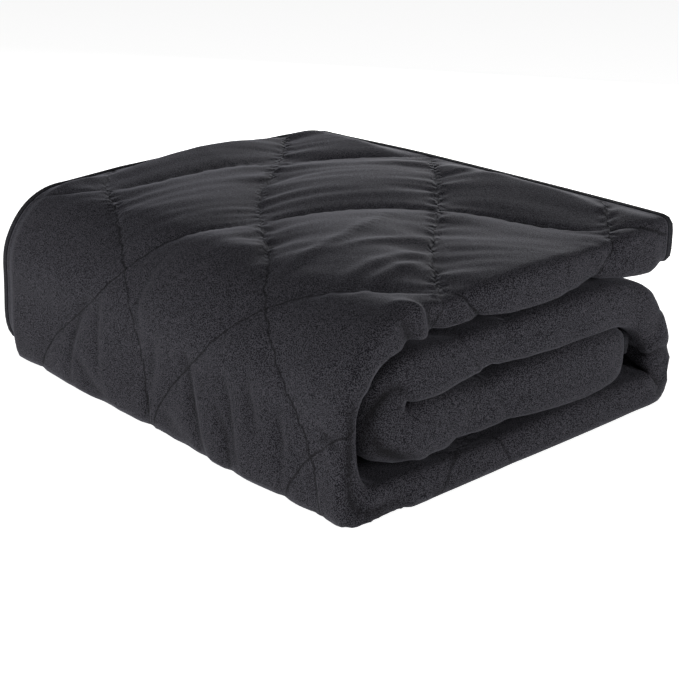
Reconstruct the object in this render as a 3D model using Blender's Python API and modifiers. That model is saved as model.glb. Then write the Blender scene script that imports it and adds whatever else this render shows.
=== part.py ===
"""A quilted comforter, folded in half along its length and rolled flat, with its edge binding.

The comforter is one padded cloth. It is first folded in half, so that its two long bound edges
lie together at +Y and the fold lies at -Y. The doubled cloth is then rolled flat in four runs:
the top run with its loose bound end at +X, the bottom run, the second run, and the core.
Metres, +Z up, origin under the middle of the bounding box, on the surface it rests on.
"""

import math

import bmesh
import bpy
import numpy as np

# Size of the cloth lying open. Its length follows from the runs and turns below.
OPEN_WIDTH = 1.22
HALF_WIDTH = OPEN_WIDTH / 2

# The doubled cloth, run by run, from the loose end on top to the core. x and z are where the middle
# of the doubled cloth starts and ends, loft is its thickness, and near and far are its two sides in y.
RUNS = (
    # name, x from, x to, z from, z to, loft, near, far
    ("top", 0.472, 0.085, 0.1790, 0.1805, 0.045, 0.008, 0.608),
    ("bottom", 0.058, 0.438, 0.0180, 0.0180, 0.035, -0.001, 0.604),
    ("second", 0.362, 0.078, 0.1285, 0.1310, 0.050, 0.008, 0.598),
    ("core", 0.078, 0.419, 0.0705, 0.0695, 0.066, 0.009, 0.592),
)
# The half-turns between one run and the next. Reach is how far a turn goes past the runs, and the two
# exponents say how square its first and its second half are, 2 being round.
TURNS = (
    # name, reach, first exponent, second exponent
    ("outer wrap", 0.068, 2.3, 3.2),
    ("right turn", 0.066, 2.2, 2.5),
    ("inner bend", 0.0330, 2.0, 2.0),
)
# Where the padding is stretched thin round a turn: its share of the loft, and the lengths along the
# cloth at which it starts, is thinnest, stays so and ends.
THINNED = (
    # share, starts, thinnest, thickens, ends
    (0.62, 0.39, 0.46, 0.53, 0.60),
    (0.78, 0.98, 1.03, 1.12, 1.18),
    (0.86, 1.47, 1.515, 1.56, 1.60),
)
# The roll's two lower corners are squared: the side of each in x, its centre in x and z, its two half
# sizes, and the powers of the superellipse through a point before and after.
SQUARED = (
    (-1, 0.064, 0.103, 0.077, 0.103, 3.2, 6.0),
    (1, 0.432, 0.075, 0.046, 0.075, 2.2, 3.4),
)
POINTS_PER_RUN = 200
LINE_STEP = 0.0005
SMOOTHING = 0.010
# The core's end: how far its loft falls off, and to what share.
CORE_END_TAPER = 0.060
CORE_END_LOFT = 0.85

# Between the two plies of the doubled cloth, and between the cloth and its binding.
PLY_GAP = 0.0015
BINDING_GAP = 0.0007

# Diamond quilting: rows of stitching cross in both directions, sheared a little where the cloth is pulled.
SEAM_SPACING = 0.27
SEAM_SLOPE = 0.88
SEAM_PHASE = 0.117
SHEAR = ((0.0, 0.0), (0.40, -0.066), (0.62, 0.0))
SEWN_LOFT = 0.22
CROWN_POWER = 0.5

# Towards its edges the filling runs out and the two plies close on each other.
EDGE_TAPER = 0.045
END_TAPER = 0.030
EDGE_THICKNESS = 0.0060
EDGE_CLOSING = 0.45

# The flap's free end stands open a little where the half fold springs back: how much, and how far that
# reaches along the cloth and across it.
FLARE = 0.0125
FLARE_ALONG = 0.085
FLARE_ACROSS = 0.55

# Towards the back the top run is lifted by the bound edges stacked under it, and its free corner
# sags: where this starts and is full across the cloth, and how high it is at lengths along the cloth.
LIFT_ACROSS = (0.38, 0.60)
LIFT_ALONG = (
    # u, lift
    (0.00, -0.004),
    (0.10, 0.000),
    (0.20, 0.005),
    (0.30, 0.004),
    (0.38, 0.000),
)

BINDING_WIDTH = 0.009
BINDING_THICKNESS = 0.0065

# The weight of the roll presses its underside flat up to this height.
PRESSED_HEIGHT = 0.0035

# How finely the cloth is divided.
ROW_LENGTH = 0.052
ROW_ANGLE = math.radians(28)
EDGE_ROWS = (0.012, 0.030)
COLUMN_WIDTH = 0.045
FOLD_END = 0.0235
FOLD_SEGMENTS = 6
# Every row of stitching that can reach the cloth, and how near a column has to be to move onto it.
SEAM_NUMBERS = range(-12, 13)
COLUMN_REACH = 0.45

CHARCOAL = (0.030, 0.029, 0.034, 1.0)
BLACK = (0.010, 0.010, 0.012, 1.0)


def clear_scene():
    for obj in list(bpy.data.objects):
        bpy.data.objects.remove(obj, do_unlink=True)


def smooth_step(t):
    t = np.clip(t, 0.0, 1.0)
    return t * t * (3.0 - 2.0 * t)


def half_turn(start, end, reach, exponents, side):
    """A superellipse half-turn between two points of (x, z), bulging to one side in x."""
    along = np.linspace(0, 1, POINTS_PER_RUN + 2)[1:-1]
    angle = math.pi * (0.5 - along)
    power = 2 / np.interp(along, (0.35, 0.65), exponents)
    sine = np.sin(angle)
    x = start[0] + (end[0] - start[0]) * along + side * reach * np.cos(angle) ** power
    half_height = (start[1] - end[1]) / 2
    z = end[1] + half_height * (1 + np.sign(sine) * np.abs(sine) ** power)
    return x, z


def lengths_of(rows):
    """Length along a line of rows that start with x and z: the running sum of its steps."""
    return np.concatenate([[0], np.cumsum(np.hypot(*np.diff(rows[:, :2], axis=0).T))])


def loft_shares(length, whole):
    """Share of its run's loft that the cloth keeps at each length: less at the core's end and where thinned."""
    left = np.clip((whole - length) / CORE_END_TAPER, 0, 1)
    shares = CORE_END_LOFT + (1 - CORE_END_LOFT) * smooth_step(left)
    for share, starts, thinnest, thickens, ends in THINNED:
        thin = smooth_step((length - starts) / (thinnest - starts))
        thin = thin * smooth_step((ends - length) / (ends - thickens))
        shares = shares * (1 - (1 - share) * thin)
    return shares


def centre_line():
    """Length along the cloth, and a row of x, z, loft, near and far for each length."""
    stretches = []
    for index, (_, x_from, x_to, z_from, z_to, *sizes) in enumerate(RUNS):
        along = np.linspace(0, 1, POINTS_PER_RUN)[:, None]
        ends = np.array([[x_from, z_from], [x_to, z_to]])
        run = ends[0] + (ends[1] - ends[0]) * along
        stretches.append(np.hstack([run, np.tile(sizes, (POINTS_PER_RUN, 1))]))
        if index < len(TURNS):
            _, reach, *exponents = TURNS[index]
            _, x_next, _, z_next, _, *next_sizes = RUNS[index + 1]
            side = -1 if index % 2 == 0 else 1
            x, z = half_turn((x_to, z_to), (x_next, z_next), reach, exponents, side)
            mix = smooth_step(np.linspace(0, 1, POINTS_PER_RUN))[:, None]
            blend = np.array(sizes) + (np.array(next_sizes) - np.array(sizes)) * mix
            stretches.append(np.column_stack([x, z, blend]))
    rows = np.vstack(stretches)
    length = lengths_of(rows)
    even = np.arange(0, length[-1], LINE_STEP)
    rows = np.column_stack([np.interp(even, length, column) for column in rows.T])
    rows[:, 2] *= loft_shares(even, even[-1])
    reach = int(SMOOTHING / LINE_STEP)
    window = np.hanning(2 * reach + 1)
    window /= window.sum()
    before = 2 * rows[0] - rows[reach:0:-1]
    after = 2 * rows[-1] - rows[-2:-reach - 2:-1]
    padded = np.vstack([before, rows, after])
    rows = np.column_stack([np.convolve(column, window, "valid") for column in padded.T])
    return lengths_of(rows), rows


LENGTHS, LINE = centre_line()
OPEN_LENGTH = LENGTHS[-1]
DIRECTION = np.arctan2(np.gradient(LINE[:, 1], LENGTHS), np.gradient(LINE[:, 0], LENGTHS))
DIRECTION = np.unwrap(DIRECTION)


def along_cloth(u):
    """Middle point, loft, near, far and the outward normal of the doubled cloth at length u."""
    inside = np.clip(u, 0, OPEN_LENGTH)
    x, z, loft, near, far = (np.interp(inside, LENGTHS, column) for column in LINE.T)
    heading = np.interp(inside, LENGTHS, DIRECTION)
    x = x + (u - inside) * np.cos(heading)
    z = z + (u - inside) * np.sin(heading)
    return x, z, loft, near, far, np.sin(heading), -np.cos(heading)


def edge_closeness(u, v):
    """1 at a bound edge, falling to 0 where the filling is full: across the cloth, and along it."""
    across = smooth_step(1 - (HALF_WIDTH - np.abs(v)) / EDGE_TAPER)
    along = smooth_step(1 - np.minimum(u, OPEN_LENGTH - u) / END_TAPER)
    return across, along


def ply_offset(u, v):
    """Height of a ply's middle surface over the middle of the doubled cloth."""
    loft = along_cloth(u)[2]
    across, _ = edge_closeness(u, v)
    flare = np.exp(-(u / FLARE_ALONG) ** 2 - (v / FLARE_ACROSS) ** 2)
    return (loft + PLY_GAP) / 4 * (1 - EDGE_CLOSING * across) + FLARE * flare


def fold(u, v):
    """The folded place of the point u along the open cloth and v across it from the half fold.

    The outer ply has v over 0 and the inner ply v under 0. Near v = 0 the cloth turns in a half circle.
    """
    x, z, _, near, far, normal_x, normal_z = along_cloth(u)
    offset = ply_offset(u, v)
    quarter = math.pi / 2 * offset
    distance = np.abs(v)
    angle = np.minimum(distance / offset, math.pi / 2)
    stretch = (far - near - offset) / (HALF_WIDTH - quarter)
    y = near + offset * (1 - np.cos(angle)) + np.maximum(distance - quarter, 0) * stretch
    height = np.sign(v) * offset * np.sin(angle)
    starts, full = LIFT_ACROSS
    lift = smooth_step((distance - starts) / (full - starts)) * np.interp(u, *zip(*LIFT_ALONG))
    x, z = squared(x + height * normal_x, z + height * normal_z + lift)
    return np.stack([x, y, z], axis=-1)


def squared(x, z):
    """x and z with the roll's lower corners squared.

    The superellipse through a point, about the corner's centre, is swapped for a squarer one with the
    same half sizes, by moving the point straight away from the centre.
    """
    for side, centre_x, centre_z, half_x, half_z, before, after in SQUARED:
        out, down = np.maximum(side * (x - centre_x), 0) / half_x, np.maximum(centre_z - z, 0) / half_z
        both = (out > 1e-6) & (down > 1e-6)
        out, down = np.where(both, out, 1.0), np.where(both, down, 1.0)
        first = (out ** before + down ** before) ** (1 / before)
        ratio = np.where(both, first / (out ** after + down ** after) ** (1 / after), 1.0)
        x, z = centre_x + (x - centre_x) * ratio, centre_z + (z - centre_z) * ratio
    return x, z


def seam_phases(u, v):
    """How many seams of each direction lie between a point and the first one: whole numbers are seams."""
    shear = np.interp(u, *zip(*SHEAR))
    rising = (v - shear + SEAM_SLOPE * u - SEAM_PHASE) / SEAM_SPACING
    falling = (v - shear - SEAM_SLOPE * u - SEAM_PHASE) / SEAM_SPACING
    return rising, falling


def ply_thickness(u, v):
    """Full in the middle of each diamond, drawn in along the seams and at the bound edges."""
    full = (along_cloth(u)[2] - PLY_GAP) / 2
    rising, falling = seam_phases(u, v)
    crown = np.abs(np.sin(math.pi * rising) * np.sin(math.pi * falling)) ** CROWN_POWER
    quilted = full * (SEWN_LOFT + (1 - SEWN_LOFT) * crown)
    across, along = edge_closeness(u, v)
    closeness = np.maximum(across, along)
    return quilted + (np.minimum(EDGE_THICKNESS, quilted) - quilted) * closeness


def row_lengths():
    """Rows along the cloth: closer where it turns, and at its two ends."""
    turning = np.abs(np.gradient(DIRECTION, LENGTHS))
    effort = 1 / ROW_LENGTH + turning / ROW_ANGLE
    total = np.concatenate([[0], np.cumsum(effort[:-1] * np.diff(LENGTHS))])
    inner = (LENGTHS > EDGE_ROWS[-1]) & (LENGTHS < OPEN_LENGTH - EDGE_ROWS[-1])
    span = total[inner]
    count = round(span[-1] - span[0])
    middle = np.interp(np.linspace(span[0], span[-1], count + 1), total, LENGTHS)
    starts = [0.0, EDGE_ROWS[0]]
    ends = [OPEN_LENGTH - EDGE_ROWS[0], OPEN_LENGTH]
    return np.concatenate([starts, middle, ends])


def column_places():
    """Columns across one ply, from the half fold to the bound edge, and which of them may be moved."""
    turning = np.linspace(0, FOLD_END, FOLD_SEGMENTS // 2 + 1)
    last = HALF_WIDTH - EDGE_ROWS[1]
    count = round((last - FOLD_END) / COLUMN_WIDTH)
    flat = np.linspace(FOLD_END, last, count + 1)[1:]
    places = np.concatenate([turning, flat, [HALF_WIDTH - EDGE_ROWS[0], HALF_WIDTH]])
    movable = (places > FOLD_END + COLUMN_WIDTH / 2) & (places < last - COLUMN_WIDTH / 2)
    return places, movable


def cloth_grid():
    """The open cloth as rows of (u, v), with the column nearest each seam moved onto it."""
    rows = row_lengths()
    places, movable = column_places()
    across = np.concatenate([-places[:0:-1], places])
    movable = np.concatenate([movable[:0:-1], movable])
    u, v = np.meshgrid(rows, across, indexing="ij")
    shear = np.interp(rows, *zip(*SHEAR))
    for slope in (SEAM_SLOPE, -SEAM_SLOPE):
        base = SEAM_PHASE + shear - slope * rows
        for seam in SEAM_NUMBERS:
            place = base + seam * SEAM_SPACING
            nearest = np.abs(across[None, :] - place[:, None]).argmin(axis=1)
            close = np.abs(across[nearest] - place) < COLUMN_REACH * COLUMN_WIDTH
            chosen = np.nonzero(movable[nearest] & close)[0]
            v[chosen, nearest[chosen]] = place[chosen]
    return u, v


def new_object(name, mesh, collection, material):
    obj = bpy.data.objects.new(name, mesh)
    mesh.materials.append(material)
    mesh.shade_smooth()
    collection.objects.link(obj)
    return obj


def new_material(name, colour, roughness):
    material = bpy.data.materials.new(name)
    material.use_nodes = True
    shader = material.node_tree.nodes["Principled BSDF"]
    shader.inputs["Base Color"].default_value = colour
    shader.inputs["Roughness"].default_value = roughness
    shader.inputs["Metallic"].default_value = 0.0
    return material


def cloth_faces(thickness):
    """Two triangles for each cell of the grid, split along the diagonal that runs in the deeper channel."""
    rows, columns = thickness.shape
    index = np.arange(rows * columns).reshape(rows, columns)
    a, b = index[:-1, :-1].ravel(), index[:-1, 1:].ravel()
    c, d = index[1:, 1:].ravel(), index[1:, :-1].ravel()
    flat = thickness.ravel()
    first = (flat[a] + flat[c] <= flat[b] + flat[d])[:, None]
    one = np.where(first, np.column_stack([a, b, c]), np.column_stack([a, b, d]))
    two = np.where(first, np.column_stack([a, c, d]), np.column_stack([b, c, d]))
    return np.vstack([one, two]).tolist()


def thickened(name, surface, thickness, collection, material):
    """A solid of the given thickness at each point of a surface, half of it on either side."""
    obj = new_object(name, surface, collection, material)
    group = obj.vertex_groups.new(name="thickness")
    most = float(thickness.max())
    for index, value in enumerate(thickness.ravel()):
        group.add([index], float(value) / most, "REPLACE")
    shell = obj.modifiers.new("Thickness", "SOLIDIFY")
    shell.thickness = most
    shell.offset = 0.0
    shell.vertex_group = group.name
    shell.use_even_offset = False
    bpy.context.view_layer.update()
    solid = bpy.data.meshes.new_from_object(obj.evaluated_get(bpy.context.evaluated_depsgraph_get()))
    solid.name = name
    obj.modifiers.remove(shell)
    obj.vertex_groups.clear()
    obj.data = solid
    bpy.data.meshes.remove(surface)
    outward(solid)
    return obj


def outward(mesh):
    bm = bmesh.new()
    bm.from_mesh(mesh)
    bmesh.ops.triangulate(bm, faces=bm.faces)
    bmesh.ops.recalc_face_normals(bm, faces=bm.faces)
    bm.to_mesh(mesh)
    bm.free()


def make_comforter(collection):
    """The padded cloth, in one piece."""
    u, v = cloth_grid()
    thickness = ply_thickness(u, v)
    surface = bpy.data.meshes.new("cloth")
    surface.from_pydata(fold(u, v).reshape(-1, 3).tolist(), [], cloth_faces(thickness))
    charcoal = new_material("charcoal_cloth", CHARCOAL, 0.9)
    obj = thickened("comforter", surface, thickness, collection, charcoal)
    press_flat(obj.data)
    return obj


def press_flat(mesh):
    for vertex in mesh.vertices:
        if vertex.co.z < PRESSED_HEIGHT:
            vertex.co.z = 0.0


def make_binding(collection):
    """The narrow tape round all four edges of the cloth, as one closed loop."""
    u, v = cloth_grid()
    ring = [(i, 0) for i in range(u.shape[0])]
    ring += [(u.shape[0] - 1, j) for j in range(1, u.shape[1])]
    ring += [(i, u.shape[1] - 1) for i in range(u.shape[0] - 2, -1, -1)]
    ring += [(0, j) for j in range(u.shape[1] - 2, 0, -1)]
    rows, columns = np.array(ring).T
    edge_u, edge_v = u[rows, columns], v[rows, columns]
    out_u = (rows == u.shape[0] - 1).astype(float) - (rows == 0)
    out_v = (columns == u.shape[1] - 1).astype(float) - (columns == 0)
    points = []
    for distance in (BINDING_GAP, BINDING_GAP + BINDING_WIDTH):
        points.append(fold(edge_u + out_u * distance, edge_v + out_v * distance))
    count = len(ring)
    inner = np.arange(count)
    after = np.roll(inner, -1)
    faces = np.column_stack([inner, after, after + count, inner + count])
    surface = bpy.data.meshes.new("tape")
    surface.from_pydata(np.vstack(points).tolist(), [], faces.tolist())
    black = new_material("black_tape", BLACK, 0.7)
    thickness = np.full(2 * count, BINDING_THICKNESS)
    return thickened("binding", surface, thickness, collection, black)


def stand_on_origin(objects):
    """Moves the finished solids so that the origin is under the middle of their box."""
    corners = np.array([vertex.co for obj in objects for vertex in obj.data.vertices])
    low, high = corners.min(axis=0), corners.max(axis=0)
    shift = (-(low[0] + high[0]) / 2, -(low[1] + high[1]) / 2, -low[2])
    for obj in objects:
        for vertex in obj.data.vertices:
            vertex.co.x += shift[0]
            vertex.co.y += shift[1]
            vertex.co.z += shift[2]


def main():
    clear_scene()
    collection = bpy.data.collections.new("comforter")
    bpy.context.scene.collection.children.link(collection)
    comforter = make_comforter(collection)
    binding = make_binding(collection)
    stand_on_origin([comforter, binding])


main()
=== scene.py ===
"""The finished look of a quilted comforter that is folded in half and rolled flat.

The padded cloth is one closed surface, worked out over the open cloth and carried through the fold:
u runs along the cloth from its loose end on top to the core of the roll, and v across it from the
half fold, over 0 on the outer ply and under 0 on the inner one. Its puffs and gathers come from a
cloth simulation of a block of quilted diamonds. A tape binds the edge. Metres, +Z up.
"""

import math

import bpy
import numpy as np
from bpy.props import FloatProperty, FloatVectorProperty, IntProperty, PointerProperty
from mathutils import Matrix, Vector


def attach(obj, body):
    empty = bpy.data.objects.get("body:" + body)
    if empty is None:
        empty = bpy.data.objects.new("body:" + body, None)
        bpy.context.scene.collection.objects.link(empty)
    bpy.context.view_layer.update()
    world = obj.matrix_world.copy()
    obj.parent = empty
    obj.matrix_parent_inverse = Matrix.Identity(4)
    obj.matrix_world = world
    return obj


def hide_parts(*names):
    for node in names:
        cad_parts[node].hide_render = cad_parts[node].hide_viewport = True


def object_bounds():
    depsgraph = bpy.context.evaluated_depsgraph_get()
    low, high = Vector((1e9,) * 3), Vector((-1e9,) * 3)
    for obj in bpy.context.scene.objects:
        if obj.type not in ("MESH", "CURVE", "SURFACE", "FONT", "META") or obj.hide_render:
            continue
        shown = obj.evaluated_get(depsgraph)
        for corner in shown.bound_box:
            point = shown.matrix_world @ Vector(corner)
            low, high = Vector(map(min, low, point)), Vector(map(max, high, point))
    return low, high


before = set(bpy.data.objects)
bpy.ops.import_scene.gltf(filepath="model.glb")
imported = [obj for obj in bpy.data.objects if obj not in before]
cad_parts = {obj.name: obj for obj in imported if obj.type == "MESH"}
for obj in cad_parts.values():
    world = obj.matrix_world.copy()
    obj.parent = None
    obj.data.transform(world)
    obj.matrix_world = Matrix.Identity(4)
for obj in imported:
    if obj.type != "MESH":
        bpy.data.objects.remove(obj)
CAD_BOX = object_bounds()

bl_info = {
    "name": "Folded Quilted Comforter",
    "version": (1, 0, 0),
    "blender": (4, 5, 0),
    "location": "3D View > Sidebar > Comforter",
    "description": "Finishes a folded comforter with simulated quilting, creases, a binding and cloth",
    "category": "Object",
}

# The near left corner of the roll's footprint, from which the runs below are measured. The cloth bulges
# past it by the inset.
ROLL_INSET = (0.0135, 0.0092)
ROLL_CORNER = (CAD_BOX[0].x + ROLL_INSET[0], CAD_BOX[0].y + ROLL_INSET[1], 0.0)

# Half the width of the open cloth.
HALF_WIDTH = 0.61

# The doubled cloth, run by run, from the loose end on top to the core. x and z are where the middle
# of the doubled cloth starts and ends, loft is its thickness, and near and far are its two sides in y.
RUNS = (
    # name, x from, x to, z from, z to, loft, near, far
    ("top", 0.472, 0.085, 0.1790, 0.1805, 0.045, 0.008, 0.608),
    ("bottom", 0.058, 0.438, 0.0180, 0.0180, 0.035, -0.001, 0.604),
    ("second", 0.362, 0.078, 0.1285, 0.1310, 0.050, 0.008, 0.598),
    ("core", 0.078, 0.419, 0.0705, 0.0695, 0.066, 0.009, 0.592),
)
# The half-turns between one run and the next. Reach is how far a turn goes past the runs, and the two
# exponents say how square its first and its second half are, 2 being round.
TURNS = (
    # name, reach, first exponent, second exponent
    ("outer wrap", 0.068, 2.3, 3.2),
    ("right turn", 0.054, 2.2, 2.5),
    ("inner bend", 0.0330, 2.0, 2.0),
)
# Where along a half-turn its first exponent starts to give way, and where its second one has taken over.
EXPONENT_BLEND = (0.35, 0.65)
# How finely the middle line is worked out, and how far it is smoothed to either side.
POINTS_PER_RUN = 200
LINE_STEP = 0.0005
SMOOTHING = 0.010
# Where the padding is stretched thin or bunches up round a turn: its share of the loft, and the
# lengths along the cloth at which that starts, is full, fades and ends.
TURN_FULLNESS = (
    # share, starts, full, fades, ends
    (0.62, 0.39, 0.46, 0.53, 0.60),
    (1.12, 0.98, 1.03, 1.12, 1.18),
    (0.86, 1.47, 1.515, 1.56, 1.60),
)
# The core's end: how far its loft falls off and to what share, and how far and how much its fold recedes.
CORE_END_TAPER = 0.060
CORE_END_LOFT = 0.76
CORE_END_ROUND = 0.030
CORE_END_DEPTH = 0.008
# Between the two plies of the doubled cloth.
PLY_GAP = 0.0015

# Diamond quilting: rows of stitching that cross, sheared a little where the cloth is pulled.
SEAM_SPACING = 0.27
SEAM_SLOPE = 0.88
SEAM_PHASE = 0.117
SHEAR = ((0.0, 0.0), (0.40, -0.066), (0.62, 0.0))
# Where rows of stitching cross on the outer ply, as the folded cloth is pulled out of its even pattern.
CROSSINGS = (
    # u, v, rising row, falling row
    (0.000, 0.375, 1, 1),
    (0.146, 0.494, 2, 1),
    (0.140, 0.220, 1, 0),
    (0.318, 0.318, 2, 0),
    (0.068, 0.036, 0, 0),
    (0.444, 0.152, 2, -1),
    (0.335, 0.022, 1, -1),
    (0.375, 0.535, 3, 1),
    (0.462, 0.380, 3, 0),
    (0.592, 0.316, 3, -1),
    (0.556, 0.050, 2, -2),
    (0.640, 0.600, 4, 0),
)
# How far each crossing pulls the cloth round it.
PULL_REACH = 0.12

# Where the outer ply fills a corner of the roll that rests on the surface: the heading of the cloth
# there, how far the heading swings over the corner, and how much the corner stands out.
FEET = (
    # heading, swing, height
    (1.84 * math.pi, 0.30 * math.pi, 0.010),
    (2.22 * math.pi, 0.30 * math.pi, 0.006),
)
# Where across the cloth that starts, and the width over which it grows full.
FEET_ACROSS = (-0.012, 0.035)
# How far the cloth's own weight brings its lowest parts down, how high that reaches, and how softly
# the floor presses it up again.
SETTLING = 0.008
SETTLING_REACH = 0.015
PRESSED_SOFTNESS = 0.0015
# The roll's two lower corners are squared: the side of each in x, its centre in x and z, its two half
# sizes, and the powers of the superellipse through a point before and after.
SQUARED = (
    (-1, 0.064, 0.103, 0.077, 0.103, 3.2, 6.0),
    (1, 0.432, 0.075, 0.046, 0.075, 2.2, 3.4),
)
# How far the lying underside flattens the puffs, how far up the wrap and the right turn that reaches,
# and where across the cloth it starts and over what width it grows full.
LYING_SHARE = 0.75
LYING_SWING = 0.42 * math.pi
LYING_ACROSS = (-0.02, 0.03)
# How far the half fold of the inner layers fills out the dents of its stitching: at most, in two
# stages along the cloth, and how far across from the fold it reaches, with the width of its fade.
NOSE_SHARE = 0.45
NOSE_STAGES = (
    # share, start, width of the fade
    (0.35, 0.63, 0.05),
    (0.65, 0.96, 0.08),
)
NOSE_ACROSS = (0.075, 0.05)
# What shows of the cloth: the outer ply from this far past the half fold, as far along as this, and both
# plies this near the fold, each with the width of its fade.
SHOWN_ACROSS = (-0.06, 0.05)
SHOWN_ALONG = (1.26, 0.06)
SHOWN_NEAR_FOLD = (0.09, 0.05)
# The half fold is blunt: the power of the superellipse that its outer face follows.
FOLD_BLUNTNESS = 4.5

# Listed creases: soft ridges over 0 and troughs under 0, each a bent line on the open cloth.
CREASES = (
    # u and v of its start, bend and end, width, height
    (0.424, 0.172, 0.340, 0.176, 0.202, 0.236, 0.010, 0.0028),
    (0.340, 0.170, 0.290, 0.172, 0.222, 0.144, 0.009, 0.0024),
    (0.410, 0.092, 0.330, 0.128, 0.250, 0.106, 0.010, 0.0030),
    (0.394, 0.068, 0.340, 0.096, 0.282, 0.088, 0.009, 0.0034),
    (0.392, 0.018, 0.386, 0.004, 0.366, -0.012, 0.008, 0.0050),
    (0.372, 0.012, 0.372, 0.000, 0.352, -0.012, 0.008, -0.0045),
    (0.404, 0.008, 0.402, -0.004, 0.384, -0.018, 0.009, -0.0050),
    (0.486, 0.001, 0.562, 0.001, 0.640, 0.004, 0.006, -0.0120),
    (1.540, 0.010, 1.560, 0.006, 1.590, 0.015, 0.006, -0.0070),
    (1.496, -0.004, 1.520, 0.008, 1.546, 0.014, 0.006, -0.0060),
    (1.392, -0.018, 1.430, -0.028, 1.474, -0.016, 0.014, 0.0080),
    (1.060, -0.040, 1.038, -0.014, 1.030, 0.008, 0.005, -0.0060),
    (1.076, -0.032, 1.072, -0.012, 1.064, 0.008, 0.005, -0.0050),
    (0.496, 0.430, 0.546, 0.464, 0.578, 0.464, 0.007, -0.0040),
    (0.500, 0.408, 0.540, 0.420, 0.572, 0.404, 0.007, -0.0030),
    (0.514, 0.250, 0.556, 0.240, 0.590, 0.212, 0.007, -0.0050),
    (0.552, 0.192, 0.572, 0.170, 0.596, 0.172, 0.007, -0.0045),
    (0.572, 0.446, 0.584, 0.414, 0.590, 0.384, 0.006, -0.0035),
    (0.578, 0.290, 0.590, 0.252, 0.588, 0.212, 0.006, -0.0035),
    (0.508, 0.146, 0.534, 0.140, 0.556, 0.130, 0.007, -0.0035),
    (0.520, 0.182, 0.564, 0.166, 0.586, 0.160, 0.007, -0.0040),
    (0.516, 0.300, 0.548, 0.318, 0.574, 0.310, 0.008, -0.0030),
    (0.452, 0.330, 0.486, 0.344, 0.512, 0.338, 0.008, -0.0025),
    (0.530, 0.100, 0.552, 0.090, 0.580, 0.096, 0.007, -0.0035),
    (0.526, 0.040, 0.530, 0.026, 0.538, 0.008, 0.005, -0.0050),
    (0.540, 0.040, 0.532, 0.028, 0.524, 0.010, 0.005, -0.0040),
    (0.522, 0.026, 0.532, 0.030, 0.544, 0.024, 0.006, 0.0030),
)

# A crease's bell curve reaches this many widths, and it fades between these shares of a half wave along
# its line, as this power of the wave.
CREASE_REACH = 4
CREASE_ENDS = (0.08, 0.92)
CREASE_FADE = 0.7
# How much of a trough's width its painted shade takes, and how deep a trough must be for that painted shade
# to be at its darkest.
TROUGH_SHARE = 0.55
DEEP_TROUGH = -0.0060

# Height of the cloth in a row of stitching as a share of full, and how steeply a puff rises from it.
SEWN_LOFT = 0.15
CROWN_POWER = 0.5
# How full the puffs are on the plies inside the roll, where they are pressed.
HIDDEN_PUFF = 0.60
# Towards the bound edges: how far in the filling thins out, at the sides and at the ends, how far the
# two plies close up, half the cloth's thickness in the binding, and the least share of it anywhere.
EDGE_TAPER = 0.028
END_TAPER = 0.030
EDGE_CLOSING = 0.45
EDGE_HALF = 0.0022
LEAST_SHARE = 0.6

# The flap's free corner stands open a little where the half fold springs back: how much, and how far
# along and across that reaches.
FLARE = 0.0125
FLARE_ALONG = 0.085
FLARE_ACROSS = 0.55

# Towards the back the top run is lifted by the bound edges stacked under it, and its free corner
# sags: where this starts and is full across the cloth, and how high it is at lengths along the cloth.
LIFT_ACROSS = (0.38, 0.60)
LIFT_ALONG = (
    # u, lift
    (0.00, -0.004),
    (0.10, 0.000),
    (0.20, 0.005),
    (0.30, 0.004),
    (0.38, 0.000),
)

# Binding: how far out of the cloth's edge the tape starts, how wide it is once folded, half its height,
# the thickness of its own cloth, and by what share of its height its open side is pinched.
TAPE_START = 0.0004
TAPE_WIDTH = 0.0092
TAPE_HALF = 0.0033
TAPE_CLOTH = 0.0008
TAPE_PINCH = 0.14
# Points along the tape's flat and round its bend, and the step along its route.
TAPE_FLAT_POINTS = 5
TAPE_BEND_POINTS = 9
TAPE_STEP = 0.006
# Radius of the open cloth's four corners.
CORNER_RADIUS = 0.030

# How finely the finished cloth is divided: along it, and across it.
ROW_STEPS = (
    # from, to, step
    (0.0, 0.67, 0.0037),
    (0.67, 1.02, 0.0065),
    (1.02, 1.24, 0.0050),
)
LAST_STEP = 0.0070
COLUMN_STEPS = (
    # from, to, step
    (-0.61, -0.055, 0.0140),
    (-0.055, 0.055, 0.0029),
    (0.055, 0.61, 0.0037),
)
# The inner face keeps every so many of the outer one's rows and columns.
INNER_STRIDE = 4

# The simulated block: its diamonds each way, and the cells along a diamond's side.
BLOCK_RISING = 3
BLOCK_FALLING = 4
SIM_CELLS = 44
# Its puffs' full height, the share of that it starts from, its frames, and how far a point may move.
SIM_PUFF = 0.0085
SIM_START = 0.75
SIM_FRAMES = 20
SIM_CAP = 0.016
# How much larger its cloth is cut than the room it has, along the rising rows and along the falling ones.
SPARE_RISING = 1.015
SPARE_FALLING = 1.065
# The uneven start: its height, its spread in cells along the first phase and along the second, and the
# cells of noise round the block that are cut off once it is spread.
SEED_HEIGHT = 0.0006
SEED_LONG = 8.0
SEED_SHORT = 1.4
SEED_MARGIN = 60

# Distance between two rows of stitching, measured square to them.
SEAM_PITCH = SEAM_SPACING / math.hypot(1.0, SEAM_SLOPE)
# Puckers along the stitching: waves from one crossing to the next, distance off the row, width, height.
LACE_TURNS = 12.0
LACE_OFF = 0.0055
LACE_WIDTH = 0.0055
LACE_HEIGHT = 0.0011
LACE_FALLING_SHARE = 0.35
# How their pitch drifts and their height swells along a row: size, waves a diamond, shift a row.
LACE_DRIFT = (0.35, 1.3, 2.1)
LACE_SWELL = (0.4, 0.9, 1.3)
# How far out of step they are on a row's other side, and on each further row.
LACE_STAGGER = 0.9 * math.pi
LACE_ROW_SHIFT = 1.7
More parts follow.
